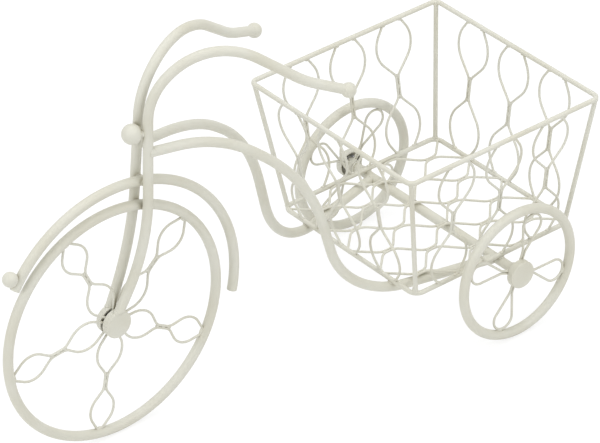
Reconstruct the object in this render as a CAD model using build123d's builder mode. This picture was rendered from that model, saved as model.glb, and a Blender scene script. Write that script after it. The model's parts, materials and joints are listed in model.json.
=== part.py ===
from build123d import *
import math
import os

# Tricycle plant stand of welded steel rod and wire: one large front wheel in a fork,
# two small rear wheels on one axle, and a square wire basket for flower pots.
# +X is forward, +Y is the rider's left, +Z is up, and the origin is the middle of the
# footprint on the floor. All sizes are in millimetres.

# Stock
rod_d = 8.0
rim_wire_d = 4.0
post_wire_d = 3.8
lattice_wire_d = 2.0

# Gaps and fits
wire_gap = 0.1
bore_clearance = 0.05
side_play = 0.3
wheel_clearance = 0.4

# How far the ends of the wires run into the hubs and the front rim, where they are cut to fit
hub_end_sink = 0.6
rim_end_sink = 1.5

# Wheels
front_wheel_d = 203.0
rear_wheel_d = 118.0
wheelbase = 315.0
track = 206.0

# Hub caps, four alike, each a shallow cup that is open on the wheel's side
cap_d = 23.0
cap_depth = 6.0
cap_wall = 1.2
cap_edge_r = 1.2

# Front hub
front_pin_d = 6.0
barrel_d = 10.0
hub_washer_d = 9.0
hub_washer_t = 0.8

# Rear hubs
bush_d = 11.0
bush_inboard = 5.0
bush_outboard = 2.5
push_nut_d = 14.0
push_nut_t = 1.0
axle_stub = 1.2
stop_ring_d = 10.4
stop_ring_t = 1.4

# Front spokes: two wires each, apart in two bellies and together at a waist between them
front_spokes = 5
front_spoke_phase = -6.0
inner_belly_at = 28.0
inner_belly_h = 16.0
waist_start = 45.2
waist_end = 59.3
outer_belly_at = 76.5
outer_belly_h = 15.0
spoke_tip_h = 1.45
inner_belly_r = 18.0
outer_belly_r = 15.5
waist_r = 9.0

# Rear spokes: one teardrop loop each, at another turn of the wheel on each side
rear_spokes = 4
left_spoke_phase = 22.0
right_spoke_phase = 36.0
loop_neck_end = 18.0
loop_corner_h = 13.6
loop_end_r = 9.2
loop_neck_r = 12.0

# Fork and handlebars: how far behind the front axle, how far from the middle plane, and how
# high above the axle or above the front wheel
fork_foot_back = 1.5
fork_foot_rise = 10.0
fork_knee_back = 29.0
fork_knee_out = 10.1
fork_knee_rise = 61.9
fork_neck_back = 39.9
fork_neck_out = 5.2
fork_neck_rise = 84.3
bar_crest_back = 77.1
bar_crest_out = 15.1
bar_crest_rise = 115.6
bar_fall_back = 114.2
bar_fall_out = 27.7
bar_fall_rise = 103.6
bar_level_back = 155.4
bar_level_out = 46.1
bar_level_rise = 70.0
bar_end_back = 187.0
bar_end_out = 57.7
bar_end_rise = 54.9
fork_knee_r = 200.0
fork_neck_r = 47.0
bar_crest_r = 53.0
bar_fall_r = 66.0
bar_level_r = 79.0

# Balls
bar_ball_d = 12.0
head_ball_d = 16.0
head_ball_rise = 54.7
fender_ball_d = 12.0
fender_ball_setback = 7.0

# Fender: a rod arc over the front wheel, its centre a little up and back from the axle
fender_gap = 4.5
fender_back = 5.6
fender_up = 6.5
fender_front_angle = 33.3
fender_rear_angle = 194.6

# Frame rods
frame_top_rise = 38.5
frame_top_out = 7.6
frame_shoulder_back = 96.3
frame_shoulder_out = 15.5
frame_shoulder_rise = 32.4
frame_slope_back = 162.4
frame_slope_out = 37.4
frame_slope_drop = 23.9
frame_heel_ahead = 38.3
frame_heel_out = 43.5
frame_heel_drop = 1.6
frame_end_out = 76.7
frame_shoulder_r = 115.0
frame_slope_r = 131.0
frame_heel_r = 63.0

# Basket, measured between wire centres
basket_ahead = 7.5
basket_height = 117.0
basket_top_length = 191.0
basket_top_width = 197.5
basket_floor_length = 159.0
basket_floor_width = 165.0
top_corner_r = 6.0
floor_corner_r = 8.0

# Side lattices: chains of two wires, like the spokes
chains_per_side = 3
chain_rim_h = 8.2
chain_belly_at = 23.4
chain_belly_h = 23.6
chain_waist_length = 20.0
chain_belly_r = 23.0
chain_waist_r = 9.0

# Floor mesh: waved wires from front to rear, each beside the next one in turn
floor_wires = 8
floor_columns = 5
floor_column_pitch = 27.85
floor_flat = 12.0
floor_bend_r = 10.0

# Worked out from the sizes above
rod_r = rod_d / 2
rim_wire_r = rim_wire_d / 2
wire_r = lattice_wire_d / 2
pair_h = wire_r + wire_gap / 2
front_axle_z = front_wheel_d / 2
rear_axle_z = rear_wheel_d / 2
front_rim_r = front_axle_z - rod_r
rear_rim_r = rear_axle_z - rod_r
wheel_top_z = front_wheel_d
fender_r = front_wheel_d / 2 + fender_gap + rod_r

rear_reach = max(basket_top_length / 2 - basket_ahead + rim_wire_r, rear_axle_z)
rear_axle_x = (rear_reach - wheelbase - front_axle_z) / 2
front_axle_x = rear_axle_x + wheelbase
wheel_y = track / 2

cap_mouth = wire_r + wheel_clearance
pin_half = cap_mouth + cap_depth - cap_wall
barrel_half = pin_half - hub_washer_t - side_play
nut_y = wheel_y + bush_outboard + side_play
axle_half = nut_y + push_nut_t + axle_stub
stop_y = wheel_y - bush_inboard - side_play

basket_x = rear_axle_x + basket_ahead
floor_z = rear_axle_z + rod_r + rim_wire_r
basket_top_z = floor_z + basket_height

os.makedirs("parts", exist_ok=True)
saved = []


def save(piece, name):
    """Label a finished piece and write it to its own file."""
    piece.part.label = name
    export_step(piece.part, f"parts/{name}.step")
    saved.append(name)


def save_mirrored(piece, name):
    """The same piece on the other side of the middle plane."""
    with BuildPart() as twin:
        mirror(piece.part, about=Plane.XZ)
    save(twin, name)
    return twin


def across(x, y, z):
    """An upright plane that faces +Y, for what is built up along the axles."""
    return Plane(origin=(x, y, z), z_dir=(0, 1, 0))


def wheel_plane(x, y, z, degrees=0.0):
    """The plane of a wheel, with its own X axis turned up from forward."""
    angle = math.radians(degrees)
    x_dir = (math.cos(angle), 0, math.sin(angle))
    return Plane(origin=(x, y, z), x_dir=x_dir, z_dir=(0, -1, 0))


def start_of(centreline):
    """The plane square to the start of a centreline, for its round section."""
    return Plane(origin=centreline.line @ 0, z_dir=centreline.line % 0)


def between(start, end, share):
    """The point that lies this share of the way from start to end."""
    return tuple(a + (b - a) * share for a, b in zip(start, end))


def fitted(points, radii):
    """The bend radii, reduced where two bends would run into each other."""
    corners = [Vector(*point) for point in points]
    runs = [after - before for before, after in zip(corners, corners[1:])]
    slopes = [math.tan(math.radians(a.get_angle(b)) / 2) for a, b in zip(runs, runs[1:])]
    setbacks = [0.0] + [radius * slope for radius, slope in zip(radii, slopes)] + [0.0]
    for place, run in enumerate(runs):
        shrink = min(1.0, 0.99 * run.length / (setbacks[place] + setbacks[place + 1]))
        setbacks[place] *= shrink
        setbacks[place + 1] *= shrink
    return [setback / slope for setback, slope in zip(setbacks[1:-1], slopes)]


# Front hub caps, welded to the feet of the fork
with BuildPart() as front_hub_cap_left:
    with BuildSketch(across(front_axle_x, cap_mouth, front_axle_z)):
        Circle(cap_d / 2)
    extrude(amount=cap_depth)
    fillet(front_hub_cap_left.edges().group_by(Axis.Y)[-1], radius=cap_edge_r)
    with BuildSketch(across(front_axle_x, cap_mouth, front_axle_z)):
        Circle(cap_d / 2 - cap_wall)
    extrude(amount=cap_depth - cap_wall, mode=Mode.SUBTRACT)
save(front_hub_cap_left, "front_hub_cap_left")
save_mirrored(front_hub_cap_left, "front_hub_cap_right")

# Front axle pin, between the end walls of the two caps
with BuildPart() as front_axle_pin:
    with BuildSketch(across(front_axle_x, -pin_half, front_axle_z)):
        Circle(front_pin_d / 2)
    extrude(amount=2 * pin_half)
save(front_axle_pin, "front_axle_pin")

# Front hub washers, one against each cap's end wall
with BuildPart() as front_hub_washers:
    for washer_y in (-pin_half, pin_half - hub_washer_t):
        with BuildSketch(across(front_axle_x, washer_y, front_axle_z)):
            Circle(hub_washer_d / 2)
            Circle(front_pin_d / 2, mode=Mode.SUBTRACT)
        extrude(amount=hub_washer_t)
save(front_hub_washers, "front_hub_washers")

# Front hub barrel, which turns on the pin and holds the spokes
with BuildPart() as front_hub_barrel:
    with BuildSketch(across(front_axle_x, -barrel_half, front_axle_z)):
        Circle(barrel_d / 2)
        Circle(front_pin_d / 2 + bore_clearance, mode=Mode.SUBTRACT)
    extrude(amount=2 * barrel_half)
save(front_hub_barrel, "front_hub_barrel")

# Front rim
with BuildPart() as front_rim:
    with BuildLine(wheel_plane(front_axle_x, 0, front_axle_z)) as front_rim_line:
        CenterArc((0, 0), front_rim_r, 0, 360)
    with BuildSketch(start_of(front_rim_line)):
        Circle(rod_r)
    sweep()
save(front_rim, "front_rim")

# Front spokes
barrel_grip = barrel_d / 2 - hub_end_sink
rim_grip = front_rim_r - rod_r + rim_end_sink
for number in range(front_spokes):
    spoke_angle = front_spoke_phase + number * 360 / front_spokes
    spoke_plane = wheel_plane(front_axle_x, 0, front_axle_z, spoke_angle)
    with BuildPart() as front_spoke:
        for side in (1, -1):
            spoke_points = [
                (barrel_grip, side * pair_h),
                (inner_belly_at, side * inner_belly_h),
                (waist_start, side * pair_h),
                (waist_end, side * pair_h),
                (outer_belly_at, side * outer_belly_h),
                (rim_grip, side * spoke_tip_h),
            ]
            spoke_radii = fitted(spoke_points, [inner_belly_r, waist_r, waist_r, outer_belly_r])
            with BuildLine(spoke_plane) as spoke_line:
                FilletPolyline(*spoke_points, radius=spoke_radii)
            with BuildSketch(start_of(spoke_line)):
                Circle(wire_r)
            sweep()
        add(front_hub_barrel.part, mode=Mode.SUBTRACT)
        add(front_rim.part, mode=Mode.SUBTRACT)
    save(front_spoke, f"front_spoke_{number + 1}")

# Rear axle
with BuildPart() as rear_axle:
    with BuildSketch(across(rear_axle_x, -axle_half, rear_axle_z)):
        Circle(rod_r)
    extrude(amount=2 * axle_half)
save(rear_axle, "rear_axle")

# Stop rings, inboard of the rear wheels
with BuildPart() as axle_stop_rings:
    for ring_y in (-stop_y, stop_y - stop_ring_t):
        with BuildSketch(across(rear_axle_x, ring_y, rear_axle_z)):
            Circle(stop_ring_d / 2)
            Circle(rod_r, mode=Mode.SUBTRACT)
        extrude(amount=stop_ring_t)
save(axle_stop_rings, "axle_stop_rings")

# Push nuts, on the ends of the axle inside the hub caps
with BuildPart() as axle_push_nuts:
    for push_nut_y in (-nut_y - push_nut_t, nut_y):
        with BuildSketch(across(rear_axle_x, push_nut_y, rear_axle_z)):
            Circle(push_nut_d / 2)
            Circle(rod_r, mode=Mode.SUBTRACT)
        extrude(amount=push_nut_t)
save(axle_push_nuts, "axle_push_nuts")

# Rear wheel bushes, which turn on the axle and hold the spokes
with BuildPart() as rear_bush_left:
    with BuildSketch(across(rear_axle_x, wheel_y - bush_inboard, rear_axle_z)):
        Circle(bush_d / 2)
        Circle(rod_r + bore_clearance, mode=Mode.SUBTRACT)
    extrude(amount=bush_inboard + bush_outboard)
save(rear_bush_left, "rear_bush_left")
rear_bush_right = save_mirrored(rear_bush_left, "rear_bush_right")

# Rear hub caps, welded to the spokes
with BuildPart() as rear_hub_cap_left:
    with BuildSketch(across(rear_axle_x, wheel_y + pair_h, rear_axle_z)):
        Circle(cap_d / 2)
    extrude(amount=cap_depth)
    fillet(rear_hub_cap_left.edges().group_by(Axis.Y)[-1], radius=cap_edge_r)
    with BuildSketch(across(rear_axle_x, wheel_y + pair_h, rear_axle_z)):
        Circle(cap_d / 2 - cap_wall)
    extrude(amount=cap_depth - cap_wall, mode=Mode.SUBTRACT)
save(rear_hub_cap_left, "rear_hub_cap_left")
save_mirrored(rear_hub_cap_left, "rear_hub_cap_right")

# Rear rims
with BuildPart() as rear_rim_left:
    with BuildLine(wheel_plane(rear_axle_x, wheel_y, rear_axle_z)) as rear_rim_line:
        CenterArc((0, 0), rear_rim_r, 0, 360)
    with BuildSketch(start_of(rear_rim_line)):
        Circle(rod_r)
    sweep()
save(rear_rim_left, "rear_rim_left")
save_mirrored(rear_rim_left, "rear_rim_right")

# Rear spokes: both ends of a loop lie side by side on the bush, its round end on the rim
bush_grip = bush_d / 2 - hub_end_sink
loop_end = rear_rim_r - rod_r - pair_h
loop_points = [
    (bush_grip, pair_h),
    (loop_neck_end, pair_h),
    (loop_end, loop_corner_h),
    (loop_end, -loop_corner_h),
    (loop_neck_end, -pair_h),
    (bush_grip, -pair_h),
]
loop_radii = fitted(loop_points, [loop_neck_r, loop_end_r, loop_end_r, loop_neck_r])
for side_name, spoke_y, phase, bush in (
    ("left", wheel_y, left_spoke_phase, rear_bush_left),
    ("right", -wheel_y, right_spoke_phase, rear_bush_right),
):
    for number in range(rear_spokes):
        spoke_angle = phase + number * 360 / rear_spokes
        with BuildPart() as rear_spoke:
            with BuildLine(wheel_plane(rear_axle_x, spoke_y, rear_axle_z, spoke_angle)) as loop_line:
                FilletPolyline(*loop_points, radius=loop_radii)
            with BuildSketch(start_of(loop_line)):
                Circle(wire_r)
            sweep()
            add(bush.part, mode=Mode.SUBTRACT)
        save(rear_spoke, f"rear_spoke_{side_name}_{number + 1}")

# Fork rods, which run on as the handlebars
foot = (
    front_axle_x - fork_foot_back,
    cap_mouth + rod_r,
    front_axle_z + fork_foot_rise,
)
knee = (front_axle_x - fork_knee_back, fork_knee_out, front_axle_z + fork_knee_rise)
neck = (front_axle_x - fork_neck_back, fork_neck_out, wheel_top_z + fork_neck_rise)
crest = (front_axle_x - bar_crest_back, bar_crest_out, wheel_top_z + bar_crest_rise)
fall = (front_axle_x - bar_fall_back, bar_fall_out, wheel_top_z + bar_fall_rise)
level = (front_axle_x - bar_level_back, bar_level_out, wheel_top_z + bar_level_rise)
bar_end = (front_axle_x - bar_end_back, bar_end_out, wheel_top_z + bar_end_rise)
fork_points = [foot, knee, neck, crest, fall, level, bar_end]
fork_radii = fitted(fork_points, [fork_knee_r, fork_neck_r, bar_crest_r, bar_fall_r, bar_level_r])
with BuildPart() as fork_rod_left:
    with BuildLine() as fork_line:
        FilletPolyline(*fork_points, radius=fork_radii)
    with BuildSketch(start_of(fork_line)):
        Circle(rod_r)
    sweep()
    # The foot is cut to sit on the hub cap
    with BuildSketch(across(front_axle_x, 0, front_axle_z)):
        Circle(cap_d / 2)
    extrude(amount=fork_knee_out + rod_d, mode=Mode.SUBTRACT)
save(fork_rod_left, "fork_rod_left")
fork_rod_right = save_mirrored(fork_rod_left, "fork_rod_right")

# Handlebar balls, each with a socket for the rod
bar_end_plane = Plane(origin=bar_end, z_dir=fork_line.line % 1)
with BuildPart(bar_end_plane) as handlebar_ball_left:
    Sphere(bar_ball_d / 2)
    with BuildSketch(bar_end_plane):
        Circle(rod_r)
    extrude(amount=-bar_ball_d, mode=Mode.SUBTRACT)
save(handlebar_ball_left, "handlebar_ball_left")
save_mirrored(handlebar_ball_left, "handlebar_ball_right")

# Head ball, in the groove between the fork rods
head_z = wheel_top_z + head_ball_rise
head_seat = between(knee, neck, (head_z - knee[2]) / (neck[2] - knee[2]))
head_touch = head_ball_d / 2 + rod_r
head_x = head_seat[0] + math.sqrt(head_touch**2 - head_seat[1] ** 2)
with BuildPart() as head_ball:
    with Locations((head_x, 0, head_z)):
        Sphere(head_ball_d / 2)
    add(fork_rod_left.part, mode=Mode.SUBTRACT)
    add(fork_rod_right.part, mode=Mode.SUBTRACT)
save(head_ball, "head_ball")

# Fender, held between the fork rods
fender_x = front_axle_x - fender_back
fender_z = front_axle_z + fender_up
with BuildPart() as fender:
    with BuildLine(wheel_plane(fender_x, 0, fender_z)) as fender_line:
        CenterArc((0, 0), fender_r, fender_front_angle, fender_rear_angle - fender_front_angle)
    with BuildSketch(start_of(fender_line)):
        Circle(rod_r)
    sweep()
    add(fork_rod_left.part, mode=Mode.SUBTRACT)
    add(fork_rod_right.part, mode=Mode.SUBTRACT)
save(fender, "fender")

# Fender ball, on top of the fender's front end
ball_angle = math.radians(fender_front_angle) + fender_ball_setback / fender_r
ball_reach = fender_r + rod_r + fender_ball_d / 2 - wire_r
fender_ball_x = fender_x + ball_reach * math.cos(ball_angle)
fender_ball_z = fender_z + ball_reach * math.sin(ball_angle)
with BuildPart() as fender_ball:
    with Locations((fender_ball_x, 0, fender_ball_z)):
        Sphere(fender_ball_d / 2)
    add(fender.part, mode=Mode.SUBTRACT)
save(fender_ball, "fender_ball")

# Frame rods, from the back of the fork down and under the basket to the rear axle
frame_top_z = wheel_top_z + frame_top_rise
frame_seat = between(knee, neck, (frame_top_z - knee[2]) / (neck[2] - knee[2]))
basket_front_x = basket_x + basket_floor_length / 2
frame_points = [
    (frame_seat[0], frame_top_out, frame_top_z),
    (
        front_axle_x - frame_shoulder_back,
        frame_shoulder_out,
        wheel_top_z + frame_shoulder_rise,
    ),
    (front_axle_x - frame_slope_back, frame_slope_out, wheel_top_z - frame_slope_drop),
    (basket_front_x + frame_heel_ahead, frame_heel_out, rear_axle_z - frame_heel_drop),
    (rear_axle_x, frame_end_out, rear_axle_z),
]
frame_radii = fitted(frame_points, [frame_shoulder_r, frame_slope_r, frame_heel_r])
with BuildPart() as frame_rod_left:
    with BuildLine() as frame_line:
        FilletPolyline(*frame_points, radius=frame_radii)
    with BuildSketch(start_of(frame_line)):
        Circle(rod_r)
    sweep()
    add(fork_rod_left.part, mode=Mode.SUBTRACT)
    add(rear_axle.part, mode=Mode.SUBTRACT)
save(frame_rod_left, "frame_rod_left")
save_mirrored(frame_rod_left, "frame_rod_right")


# Basket rims, each bent into a rectangle with rounded corners and welded shut
def rim_points(length, width):
    """The points of a rim: the middle of its front run, where it is welded, and its corners."""
    return [
        (length / 2, 0),
        (length / 2, width / 2),
        (-length / 2, width / 2),
        (-length / 2, -width / 2),
        (length / 2, -width / 2),
    ]


with BuildPart() as basket_top_rim:
    with BuildLine(Plane(origin=(basket_x, 0, basket_top_z))) as top_rim_line:
        top_points = rim_points(basket_top_length, basket_top_width)
        FilletPolyline(*top_points, radius=[0] + 4 * [top_corner_r], close=True)
    with BuildSketch(start_of(top_rim_line)):
        Circle(rim_wire_r)
    sweep()
save(basket_top_rim, "basket_top_rim")

with BuildPart() as basket_floor_rim:
    with BuildLine(Plane(origin=(basket_x, 0, floor_z))) as floor_rim_line:
        floor_points = rim_points(basket_floor_length, basket_floor_width)
        FilletPolyline(*floor_points, radius=[0] + 4 * [floor_corner_r], close=True)
    with BuildSketch(start_of(floor_rim_line)):
        Circle(rim_wire_r)
    sweep()
save(basket_floor_rim, "basket_floor_rim")

# Corner posts, from the middle of each floor corner to the middle of the top corner above it
corner_share = 1 - math.sqrt(0.5)
for end_name, front in (("front", 1), ("rear", -1)):
    post_foot = (
        basket_x + front * (basket_floor_length / 2 - corner_share * floor_corner_r),
        basket_floor_width / 2 - corner_share * floor_corner_r,
        floor_z,
    )
    post_top = (
        basket_x + front * (basket_top_length / 2 - corner_share * top_corner_r),
        basket_top_width / 2 - corner_share * top_corner_r,
        basket_top_z,
    )
    with BuildPart() as corner_post:
        with BuildLine() as post_line:
            Line(post_foot, post_top)
        with BuildSketch(start_of(post_line)):
            Circle(post_wire_d / 2)
        sweep()
        add(basket_top_rim.part, mode=Mode.SUBTRACT)
        add(basket_floor_rim.part, mode=Mode.SUBTRACT)
    save(corner_post, f"corner_post_{end_name}_left")
    save_mirrored(corner_post, f"corner_post_{end_name}_right")


# Side lattices
def lattice_side(foot_middle, top_middle, along, spacing):
    """Chains of two wires on one side of the basket, from the floor rim to the top rim."""
    rise = Vector(*top_middle) - Vector(*foot_middle)
    side_plane = Plane(origin=foot_middle, x_dir=along, z_dir=Vector(*along).cross(rise))
    waist_low = (rise.length - chain_waist_length) / 2
    with BuildPart() as chains:
        for chain in range(chains_per_side):
            middle = (chain - (chains_per_side - 1) / 2) * spacing
            for side in (1, -1):
                chain_points = [
                    (middle + side * chain_rim_h, 0),
                    (middle + side * chain_belly_h, chain_belly_at),
                    (middle + side * pair_h, waist_low),
                    (middle + side * pair_h, waist_low + chain_waist_length),
                    (middle + side * chain_belly_h, rise.length - chain_belly_at),
                    (middle + side * chain_rim_h, rise.length),
                ]
                bends = [chain_belly_r, chain_waist_r, chain_waist_r, chain_belly_r]
                with BuildLine(side_plane) as chain_line:
                    FilletPolyline(*chain_points, radius=fitted(chain_points, bends))
                with BuildSketch(start_of(chain_line)):
                    Circle(wire_r)
                sweep()
        add(basket_top_rim.part, mode=Mode.SUBTRACT)
        add(basket_floor_rim.part, mode=Mode.SUBTRACT)
    return chains


lattice_left = lattice_side(
    (basket_x, basket_floor_width / 2, floor_z),
    (basket_x, basket_top_width / 2, basket_top_z),
    (1, 0, 0),
    basket_top_length / (chains_per_side + 1),
)
save(lattice_left, "lattice_left")
save_mirrored(lattice_left, "lattice_right")
for end_name, front in (("front", 1), ("rear", -1)):
    lattice_end = lattice_side(
        (basket_x + front * basket_floor_length / 2, 0, floor_z),
        (basket_x + front * basket_top_length / 2, 0, basket_top_z),
        (0, 1, 0),
        basket_top_width / (chains_per_side + 1),
    )
    save(lattice_end, f"lattice_{end_name}")

# Floor mesh: each wire swings to one side and back, and its neighbours swing the other way
floor_pitch = (basket_floor_width - 2 * rim_wire_r - wire_gap) / floor_wires
floor_swing = floor_pitch / 2 - pair_h
end_column = (floor_columns + 1) // 2
with BuildPart() as floor_mesh:
    for number in range(floor_wires):
        middle_y = (number - (floor_wires - 1) / 2) * floor_pitch
        mesh_points = []
        for column in range(-end_column, end_column + 1):
            swing_y = middle_y + floor_swing * (-1) ** (column + number)
            if abs(column) == end_column:
                mesh_points.append((math.copysign(basket_floor_length / 2, column), swing_y))
            else:
                mesh_points.append((column * floor_column_pitch - floor_flat / 2, swing_y))
                mesh_points.append((column * floor_column_pitch + floor_flat / 2, swing_y))
        mesh_radii = fitted(mesh_points, [floor_bend_r] * (len(mesh_points) - 2))
        with BuildLine(Plane(origin=(basket_x, 0, floor_z))) as mesh_line:
            FilletPolyline(*mesh_points, radius=mesh_radii)
        with BuildSketch(start_of(mesh_line)):
            Circle(wire_r)
        sweep()
    add(basket_floor_rim.part, mode=Mode.SUBTRACT)
save(floor_mesh, "floor_mesh")

print(len(saved), "pieces written")
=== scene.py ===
import json
import math

import bmesh
import bpy
from mathutils import Matrix, Vector, noise


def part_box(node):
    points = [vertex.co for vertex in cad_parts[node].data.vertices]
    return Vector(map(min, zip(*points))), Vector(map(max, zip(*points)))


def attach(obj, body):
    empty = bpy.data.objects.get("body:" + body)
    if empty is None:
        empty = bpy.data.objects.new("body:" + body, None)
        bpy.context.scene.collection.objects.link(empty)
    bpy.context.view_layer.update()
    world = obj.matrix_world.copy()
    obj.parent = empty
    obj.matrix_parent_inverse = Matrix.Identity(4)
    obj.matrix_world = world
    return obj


# A cream tricycle plant stand on a pale floor in soft studio light.
# Everything is in metres: +X is forward, +Y is the rider's left, +Z is up.

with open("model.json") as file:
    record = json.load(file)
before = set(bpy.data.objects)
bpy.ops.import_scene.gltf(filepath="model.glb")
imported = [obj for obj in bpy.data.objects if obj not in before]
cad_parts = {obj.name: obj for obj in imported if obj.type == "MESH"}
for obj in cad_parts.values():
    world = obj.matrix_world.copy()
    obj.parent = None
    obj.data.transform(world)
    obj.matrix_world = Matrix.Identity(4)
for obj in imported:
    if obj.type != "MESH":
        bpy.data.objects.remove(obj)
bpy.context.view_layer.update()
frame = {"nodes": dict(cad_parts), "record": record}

MM = 0.001
UP = (0, 0, 1)
AHEAD = (1, 0, 0)
ACROSS = (0, 1, 0)

# Camera, at the photograph's viewing angle
CAMERA_AIM = Vector((-0.0290, 0.0, 0.1132))
CAMERA_DISTANCE = 3.236
CAMERA_YAW = math.radians(-127.353)
CAMERA_PITCH = math.radians(33.579)
CAMERA_ROLL = math.radians(-1.997)
CAMERA_LENS = 249.6
CAMERA_SENSOR = 36

# The point that the lights face
LIGHT_AIM = Vector((0, 0, 0.1))

# Colours
CREAM = (0.66, 0.645, 0.56)
CREAM_DEEP = (0.615, 0.592, 0.49)
# Painted shade: a darker, yellower cream for the corners between pieces
CORNER_SHADE_TINT = (0.62, 0.58, 0.46)
ZINC = (0.62, 0.62, 0.64)
ZINC_DULL = tuple(0.8 * part for part in ZINC)
WHITE = (1, 1, 1)
SKY = (0.96, 0.98, 1.0)
SKY_STRENGTH = 0.70
FLOOR_BOUNCE = (0.90, 0.90, 0.90)
FLOOR_SEEN = (0.27, 0.27, 0.27)
FLOOR_GLOW = 0.77
FLOOR_REACH = 6.0
FLOOR_DROP = 0.2 * MM

# Edges sharper than this keep their crease
CREASE_ANGLE = math.radians(38)

# Stock, as in the solids
ROD_R = 4 * MM
RIM_WIRE_R = 2 * MM
WIRE_GAP = 0.1 * MM

# The straight run of the left fork rod: behind the front axle, out, and above the floor
FORK_KNEE = (29 * MM, 10.1 * MM, 163.4 * MM)
FORK_NECK = (39.9 * MM, 5.2 * MM, 287.3 * MM)

# Places of the welds on the frame
FORK_FOOT_BACK = 1.8 * MM
FORK_FOOT_OUT = 5.7 * MM
FORK_FOOT_UP = 11.2 * MM
FRAME_TOP_Z = 241.5 * MM
FRAME_TOP_BACK = 4.4 * MM
FRAME_TOP_OUT = 8.1 * MM
BALL_TOUCH_SHARE = 0.66
FENDER_JOINT_Z = 214.8 * MM
FENDER_JOINT_OUT = 4.1 * MM
FRAME_END_AHEAD = 4.2 * MM
FRAME_END_OUT = 75.8 * MM
FRAME_END_TOE = 0.27
FRONT_CROSS_OUT = 53.4 * MM
CROSS_DROP = 2.2 * MM
FLOOR_CORNER_R = 8 * MM
TOP_CORNER_R = 6 * MM
POST_BEAD_IN = 1.9 * MM

# Places of the welds on the lattices and the floor mesh
CHAINS = (-1, 0, 1)
CHAIN_RIM_H = 8.2 * MM
CHAIN_RIM_SHARES = (0.017, 0.983)
CHAIN_WAIST_SHARES = (0.42, 0.5, 0.58)
FLOOR_WIRES = 8
FLOOR_COLUMNS = 5
COLUMN_PITCH = 27.85 * MM
FLAT_ENDS = (-4 * MM, 4 * MM)

# Turns of the spokes in degrees, and their welds: reach from the axle, depth into the rim
FRONT_SPOKES = 5
FRONT_PHASE = -6
FRONT_WAIST_REACHES = (46 * MM, 52.3 * MM, 58.5 * MM)
FRONT_RIM_IN = 0.1 * MM
REAR_SPOKES = 4
REAR_PHASES = {"left": 22, "right": 36}
REAR_RIM_IN = -0.2 * MM

# Half widths of the weld beads in millimetres, the last one along the bead's own direction
FORK_FOOT_BEAD = (5.0, 3.3, 2.4)
FRAME_TOP_BEAD = (4.15, 4.15, 1.5)
HEAD_BALL_BEAD = (3.4, 3.0, 2.3)
FENDER_BEAD = (3.5, 3.5, 1.1)
FRAME_END_BEAD = (4.3, 4.3, 1.6)
FRONT_CROSS_BEAD = (3.0, 3.4, 1.3)
AXLE_CROSS_BEAD = (3.2, 2.8, 1.3)
POST_BEAD = (2.3, 2.3, 1.3)
CHAIN_RIM_BEAD = (1.5, 1.5, 1.0)
CHAIN_WAIST_BEAD = (1.1, 1.0, 1.9)
FLOOR_MESH_BEAD = (1.0, 1.0, 1.7)
FRONT_RIM_BEAD = (1.6, 1.6, 3.6)
FRONT_WAIST_BEAD = (1.0, 1.1, 1.9)
REAR_RIM_BEAD = (1.5, 1.4, 3.0)
LUMP_SCALE = 900
LUMP_DEPTH = 0.13


def middle(node):
    """The middle of a CAD node's box."""
    low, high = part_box(node)
    return (Vector(low) + Vector(high)) / 2


def half_size(node):
    """Half the size of a CAD node's box."""
    low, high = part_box(node)
    return (Vector(high) - Vector(low)) / 2


# Materials
def surface(name):
    """A new material, with its nodes, its links and its shader."""
    material = bpy.data.materials.new(name)
    material.use_nodes = True
    tree = material.node_tree
    return material, tree.nodes, tree.links, tree.nodes["Principled BSDF"]


def noise_field(nodes, links, scale, detail=2):
    """The height of a noise in the object's own space."""
    coords = nodes.new("ShaderNodeTexCoord")
    field = nodes.new("ShaderNodeTexNoise")
    field.inputs["Scale"].default_value = scale
    field.inputs["Detail"].default_value = detail
    links.new(coords.outputs["Object"], field.inputs["Vector"])
    return field.outputs["Fac"]


def blend_colours(nodes, links, height, low, high, start=0.0, end=1.0):
    """A colour that goes from low to high as the height goes from start to end."""
    ramp = nodes.new("ShaderNodeValToRGB")
    first, last = ramp.color_ramp.elements
    first.position = start
    first.color = (*low, 1)
    last.position = end
    last.color = (*high, 1)
    links.new(height, ramp.inputs["Fac"])
    return ramp.outputs["Color"]


def uneven_gloss(nodes, links, shader, height, low, high):
    """Spreads a height over a range of roughness."""
    spread = nodes.new("ShaderNodeMapRange")
    spread.inputs["To Min"].default_value = low
    spread.inputs["To Max"].default_value = high
    links.new(height, spread.inputs["Value"])
    links.new(spread.outputs["Result"], shader.inputs["Roughness"])


def powder_coat(name):
    """Satin powder coat: a slow drift of colour, painted shade in the corners, fine orange
    peel and uneven gloss.
    """
    material, nodes, links, shader = surface(name)
    drift = noise_field(nodes, links, scale=22, detail=4)
    tint = blend_colours(nodes, links, drift, CREAM_DEEP, CREAM, start=0.32, end=0.58)

    # Painted shade: an ambient occlusion mask makes the coat darker and yellower in the
    # corners between pieces, where shade and the cream's own bounce light fall
    corners = nodes.new("ShaderNodeAmbientOcclusion")
    corners.inputs["Distance"].default_value = 5 * MM
    corners.samples = 8
    nearness = corners.outputs["AO"]
    painted_corner_shade = blend_colours(nodes, links, nearness, CORNER_SHADE_TINT, WHITE, start=0.15, end=0.75)
    coat = nodes.new("ShaderNodeMix")
    coat.data_type = "RGBA"
    coat.blend_type = "MULTIPLY"
    coat.inputs["Factor"].default_value = 0.8
    links.new(tint, coat.inputs["A"])
    links.new(painted_corner_shade, coat.inputs["B"])
    links.new(coat.outputs["Result"], shader.inputs["Base Color"])

    gloss = noise_field(nodes, links, scale=160, detail=3)
    uneven_gloss(nodes, links, shader, gloss, low=0.38, high=0.56)

    peel = noise_field(nodes, links, scale=900)
    bump = nodes.new("ShaderNodeBump")
    bump.inputs["Strength"].default_value = 0.25
    bump.inputs["Distance"].default_value = 0.12 * MM
    links.new(peel, bump.inputs["Height"])
    links.new(bump.outputs["Normal"], shader.inputs["Normal"])
    return material


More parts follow.
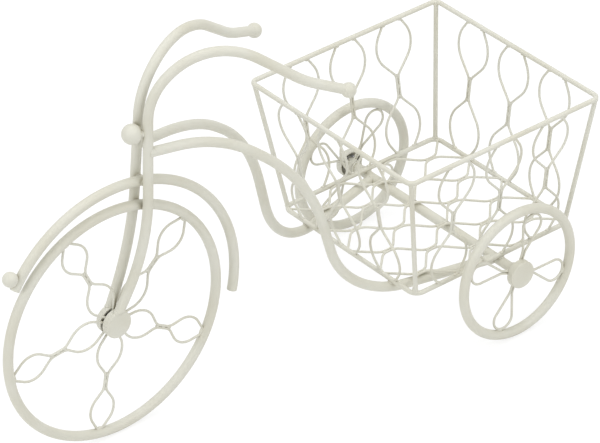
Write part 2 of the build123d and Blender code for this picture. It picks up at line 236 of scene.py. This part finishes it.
def zinc_plate(name):
    """Bright zinc plate, patchy in shade and gloss."""
    material, nodes, links, shader = surface(name)
    shader.inputs["Metallic"].default_value = 1.0
    patches = noise_field(nodes, links, scale=260)
    shade = blend_colours(nodes, links, patches, ZINC_DULL, ZINC)
    links.new(shade, shader.inputs["Base Color"])
    uneven_gloss(nodes, links, shader, patches, low=0.25, high=0.45)
    return material


finishes = {
    "cream_paint": powder_coat("cream_powder_coat"),
    "zinc_steel": zinc_plate("zinc_plate"),
}
for subpart in frame["record"]["subparts"]:
    solid = frame["nodes"][subpart["node"]]
    for place in solid.material_slots:
        place.material = finishes[subpart["material_slot"]]
    solid.data.shade_smooth()
    solid.data.set_sharp_from_angle(angle=CREASE_ANGLE)


# Weld beads, under the same coat
def bead(shape, centre, half_widths, along):
    """Adds one lumpy weld bead, its last half width along the given direction."""
    turn = Vector(along).to_track_quat("Z", "Y").to_matrix().to_4x4()
    size = Matrix.Diagonal((*(width * MM for width in half_widths), 1))
    place = Matrix.Translation(centre) @ turn @ size
    made = bmesh.ops.create_icosphere(shape, subdivisions=3, radius=1.0, matrix=place)
    for vertex in made["verts"]:
        lump = noise.noise(vertex.co * LUMP_SCALE) * LUMP_DEPTH
        vertex.co += (vertex.co - centre) * lump


def weld_group(name, body, beads):
    """One piece that holds a set of weld beads on a body."""
    shape = bmesh.new()
    for centre, half_widths, along in beads:
        bead(shape, centre, half_widths, along)
    mesh = bpy.data.meshes.new(name)
    shape.to_mesh(mesh)
    shape.free()
    mesh.shade_smooth()
    mesh.materials.append(finishes["cream_paint"])
    piece = bpy.data.objects.new(name, mesh)
    bpy.context.scene.collection.objects.link(piece)
    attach(piece, body)


front_axle = middle("front_rim")
front_wheel_r = half_size("front_rim").x
rear_axle = middle("rear_axle")
rear_wheel_r = half_size("rear_rim_left").x
head_ball = middle("head_ball")
rim_wire = Vector((RIM_WIRE_R, RIM_WIRE_R, RIM_WIRE_R))
floor_rim = middle("basket_floor_rim")
floor_half = half_size("basket_floor_rim") - rim_wire
top_rim = middle("basket_top_rim")
top_half = half_size("basket_top_rim") - rim_wire


def on_fork(height, side):
    """The middle of a fork rod at a height between its knee and its neck."""
    share = (height - FORK_KNEE[2]) / (FORK_NECK[2] - FORK_KNEE[2])
    back, out, level = Vector(FORK_KNEE).lerp(Vector(FORK_NECK), share)
    return Vector((front_axle.x - back, side * out, level))


def rim_corner(rim, half, radius, front, side):
    """The middle of a rim's rounded corner."""
    cut = radius * (1 - math.sqrt(0.5))
    return Vector((rim.x + front * (half.x - cut), side * (half.y - cut), rim.z))


frame_beads = []
for side in (1, -1):
    # Foot of the fork on the hub cap
    foot = Vector(
        (
            front_axle.x - FORK_FOOT_BACK,
            side * FORK_FOOT_OUT,
            front_axle.z + FORK_FOOT_UP,
        )
    )
    frame_beads.append((foot, FORK_FOOT_BEAD, UP))
    # Frame rod behind the fork
    seat_x = on_fork(FRAME_TOP_Z, side).x - FRAME_TOP_BACK
    seat = Vector((seat_x, side * FRAME_TOP_OUT, FRAME_TOP_Z))
    frame_beads.append((seat, FRAME_TOP_BEAD, AHEAD))
    # Head ball on the fork
    ball_seat = on_fork(head_ball.z, side)
    touch = head_ball.lerp(ball_seat, BALL_TOUCH_SHARE)
    frame_beads.append((touch, HEAD_BALL_BEAD, ball_seat - head_ball))
    # Fender between the fork rods
    joint_x = on_fork(FENDER_JOINT_Z, side).x
    joint = Vector((joint_x, side * FENDER_JOINT_OUT, FENDER_JOINT_Z))
    frame_beads.append((joint, FENDER_BEAD, ACROSS))
    # Frame rod's end on the rear axle
    heel = Vector((rear_axle.x + FRAME_END_AHEAD, side * FRAME_END_OUT, rear_axle.z))
    frame_beads.append((heel, FRAME_END_BEAD, (1, -side * FRAME_END_TOE, 0)))
    # Basket on the frame rod and on the axle
    cross_z = floor_rim.z - CROSS_DROP
    front_cross = Vector((floor_rim.x + floor_half.x, side * FRONT_CROSS_OUT, cross_z))
    frame_beads.append((front_cross, FRONT_CROSS_BEAD, UP))
    axle_cross = Vector((rear_axle.x, side * floor_half.y, cross_z))
    frame_beads.append((axle_cross, AXLE_CROSS_BEAD, UP))
    # Corner posts
    for front in (1, -1):
        low = rim_corner(floor_rim, floor_half, FLOOR_CORNER_R, front, side)
        high = rim_corner(top_rim, top_half, TOP_CORNER_R, front, side)
        rise = (high - low).normalized()
        frame_beads.append((low + rise * POST_BEAD_IN, POST_BEAD, rise))
        frame_beads.append((high - rise * POST_BEAD_IN, POST_BEAD, rise))
weld_group("frame_welds", "frame", frame_beads)

# Small welds of the lattices: at both rims, and along the waist of each chain
sides = []
for side in (1, -1):
    flank_low = Vector((floor_rim.x, side * floor_half.y, floor_rim.z))
    flank_high = Vector((top_rim.x, side * top_half.y, top_rim.z))
    sides.append((flank_low, flank_high, Vector(AHEAD), top_half.x / 2))
    end_low = Vector((floor_rim.x + side * floor_half.x, 0, floor_rim.z))
    end_high = Vector((top_rim.x + side * top_half.x, 0, top_rim.z))
    sides.append((end_low, end_high, Vector(ACROSS), top_half.y / 2))
lattice_beads = []
for low, high, along, spacing in sides:
    rise = high - low
    for chain in CHAINS:
        foot = low + along * chain * spacing
        for wire in (1, -1):
            for share in CHAIN_RIM_SHARES:
                grip = foot + rise * share + along * wire * CHAIN_RIM_H
                lattice_beads.append((grip, CHAIN_RIM_BEAD, rise))
        for share in CHAIN_WAIST_SHARES:
            lattice_beads.append((foot + rise * share, CHAIN_WAIST_BEAD, rise))
weld_group("lattice_welds", "frame", lattice_beads)

# Small welds of the floor mesh, where one wire lies beside the next
wire_pitch = (2 * floor_half.y - 2 * RIM_WIRE_R - WIRE_GAP) / FLOOR_WIRES
mesh_beads = []
for column in range(-(FLOOR_COLUMNS // 2), FLOOR_COLUMNS // 2 + 1):
    for gap in range(1 - FLOOR_WIRES // 2, FLOOR_WIRES // 2):
        if (column + gap) % 2 == 1:
            for end in FLAT_ENDS:
                along_x = floor_rim.x + column * COLUMN_PITCH + end
                spot = Vector((along_x, gap * wire_pitch, floor_rim.z))
                mesh_beads.append((spot, FLOOR_MESH_BEAD, AHEAD))
weld_group("floor_mesh_welds", "frame", mesh_beads)


# Welds of the wheels
def spoke_directions(phase, count):
    """Out along each spoke of a wheel, and sideways to it."""
    for number in range(count):
        turn = math.radians(phase + number * 360 / count)
        outward = Vector((math.cos(turn), 0, math.sin(turn)))
        yield outward, Vector((-math.sin(turn), 0, math.cos(turn)))


front_beads = []
for outward, sideways in spoke_directions(FRONT_PHASE, FRONT_SPOKES):
    rim_spot = front_axle + outward * (front_wheel_r - 2 * ROD_R + FRONT_RIM_IN)
    front_beads.append((rim_spot, FRONT_RIM_BEAD, sideways))
    for reach in FRONT_WAIST_REACHES:
        front_beads.append((front_axle + outward * reach, FRONT_WAIST_BEAD, outward))
weld_group("front_wheel_welds", "front_wheel", front_beads)

for side_name, phase in REAR_PHASES.items():
    hub = middle(f"rear_rim_{side_name}")
    rear_beads = []
    for outward, sideways in spoke_directions(phase, REAR_SPOKES):
        rim_spot = hub + outward * (rear_wheel_r - 2 * ROD_R + REAR_RIM_IN)
        rear_beads.append((rim_spot, REAR_RIM_BEAD, sideways))
    weld_group(f"rear_wheel_{side_name}_welds", f"rear_wheel_{side_name}", rear_beads)


# Floor, light and camera
def direct_rays(nodes, links):
    """One for rays that show the background, and zero for those that light the object."""
    rays = nodes.new("ShaderNodeLightPath")
    mirrored = nodes.new("ShaderNodeMath")
    mirrored.operation = "MAXIMUM"
    links.new(rays.outputs["Is Glossy Ray"], mirrored.inputs[0])
    links.new(rays.outputs["Is Transmission Ray"], mirrored.inputs[1])
    seen = nodes.new("ShaderNodeMath")
    seen.operation = "MAXIMUM"
    links.new(rays.outputs["Is Camera Ray"], seen.inputs[0])
    links.new(mirrored.outputs[0], seen.inputs[1])
    return seen.outputs[0]


def floor_material():
    """A pale, matt floor, seen nearly white with the object's faint shadow."""
    material, nodes, links, seen = surface("pale_floor")
    seen.inputs["Base Color"].default_value = (*FLOOR_SEEN, 1)
    seen.inputs["Roughness"].default_value = 0.95
    seen.inputs["Specular IOR Level"].default_value = 0.0
    seen.inputs["Emission Color"].default_value = (*WHITE, 1)
    seen.inputs["Emission Strength"].default_value = FLOOR_GLOW
    bounce = nodes.new("ShaderNodeBsdfDiffuse")
    bounce.inputs["Color"].default_value = (*FLOOR_BOUNCE, 1)
    choose = nodes.new("ShaderNodeMixShader")
    links.new(direct_rays(nodes, links), choose.inputs["Fac"])
    links.new(bounce.outputs["BSDF"], choose.inputs[1])
    links.new(seen.outputs["BSDF"], choose.inputs[2])
    links.new(choose.outputs["Shader"], nodes["Material Output"].inputs["Surface"])
    return material


def softbox(name, place, size, watts):
    """A square area light that faces the object."""
    data = bpy.data.lights.new(name, "AREA")
    data.size = size
    data.energy = watts
    lamp = bpy.data.objects.new(name, data)
    lamp.location = place
    facing = LIGHT_AIM - lamp.location
    lamp.rotation_euler = facing.to_track_quat("-Z", "Y").to_euler()
    bpy.context.scene.collection.objects.link(lamp)


floor_corners = [
    (-FLOOR_REACH, -FLOOR_REACH, 0),
    (FLOOR_REACH, -FLOOR_REACH, 0),
    (FLOOR_REACH, FLOOR_REACH, 0),
    (-FLOOR_REACH, FLOOR_REACH, 0),
]
floor_mesh = bpy.data.meshes.new("studio_floor")
floor_mesh.from_pydata(floor_corners, [], [(0, 1, 2, 3)])
floor_mesh.materials.append(floor_material())
floor = bpy.data.objects.new("studio_floor", floor_mesh)
floor.location.z = -FLOOR_DROP
bpy.context.scene.collection.objects.link(floor)

softbox("key_light", place=(-0.9, 2.0, 1.9), size=1.4, watts=16)
softbox("fill_light", place=(2.2, 0.3, 1.2), size=1.6, watts=13)
softbox("top_light", place=(-0.2, -0.3, 2.4), size=2.2, watts=21)

world = bpy.data.worlds.new("studio")
bpy.context.scene.world = world
world.use_nodes = True
world_nodes = world.node_tree.nodes
world_links = world.node_tree.links
sky = world_nodes["Background"]
sky.inputs["Color"].default_value = (*SKY, 1)
sky.inputs["Strength"].default_value = SKY_STRENGTH
white = world_nodes.new("ShaderNodeBackground")
white.inputs["Color"].default_value = (*WHITE, 1)
choose = world_nodes.new("ShaderNodeMixShader")
world_links.new(direct_rays(world_nodes, world_links), choose.inputs["Fac"])
world_links.new(sky.outputs["Background"], choose.inputs[1])
world_links.new(white.outputs["Background"], choose.inputs[2])
world_links.new(choose.outputs["Shader"], world_nodes["World Output"].inputs["Surface"])
bpy.context.scene.view_settings.view_transform = "Standard"

looking = Vector(
    (
        math.cos(CAMERA_YAW) * math.cos(CAMERA_PITCH),
        math.sin(CAMERA_YAW) * math.cos(CAMERA_PITCH),
        -math.sin(CAMERA_PITCH),
    )
)
level_right = Vector((math.sin(CAMERA_YAW), -math.cos(CAMERA_YAW), 0))
level_up = level_right.cross(looking)
right = math.cos(CAMERA_ROLL) * level_right + math.sin(CAMERA_ROLL) * level_up
up = -math.sin(CAMERA_ROLL) * level_right + math.cos(CAMERA_ROLL) * level_up
camera_data = bpy.data.cameras.new("camera")
camera_data.sensor_fit = "HORIZONTAL"
camera_data.sensor_width = CAMERA_SENSOR
camera_data.lens = CAMERA_LENS
camera = bpy.data.objects.new("camera", camera_data)
facing = Matrix((right, up, -looking)).transposed().to_4x4()
camera.matrix_world = Matrix.Translation(CAMERA_AIM - looking * CAMERA_DISTANCE) @ facing
bpy.context.scene.collection.objects.link(camera)
bpy.context.scene.camera = camera
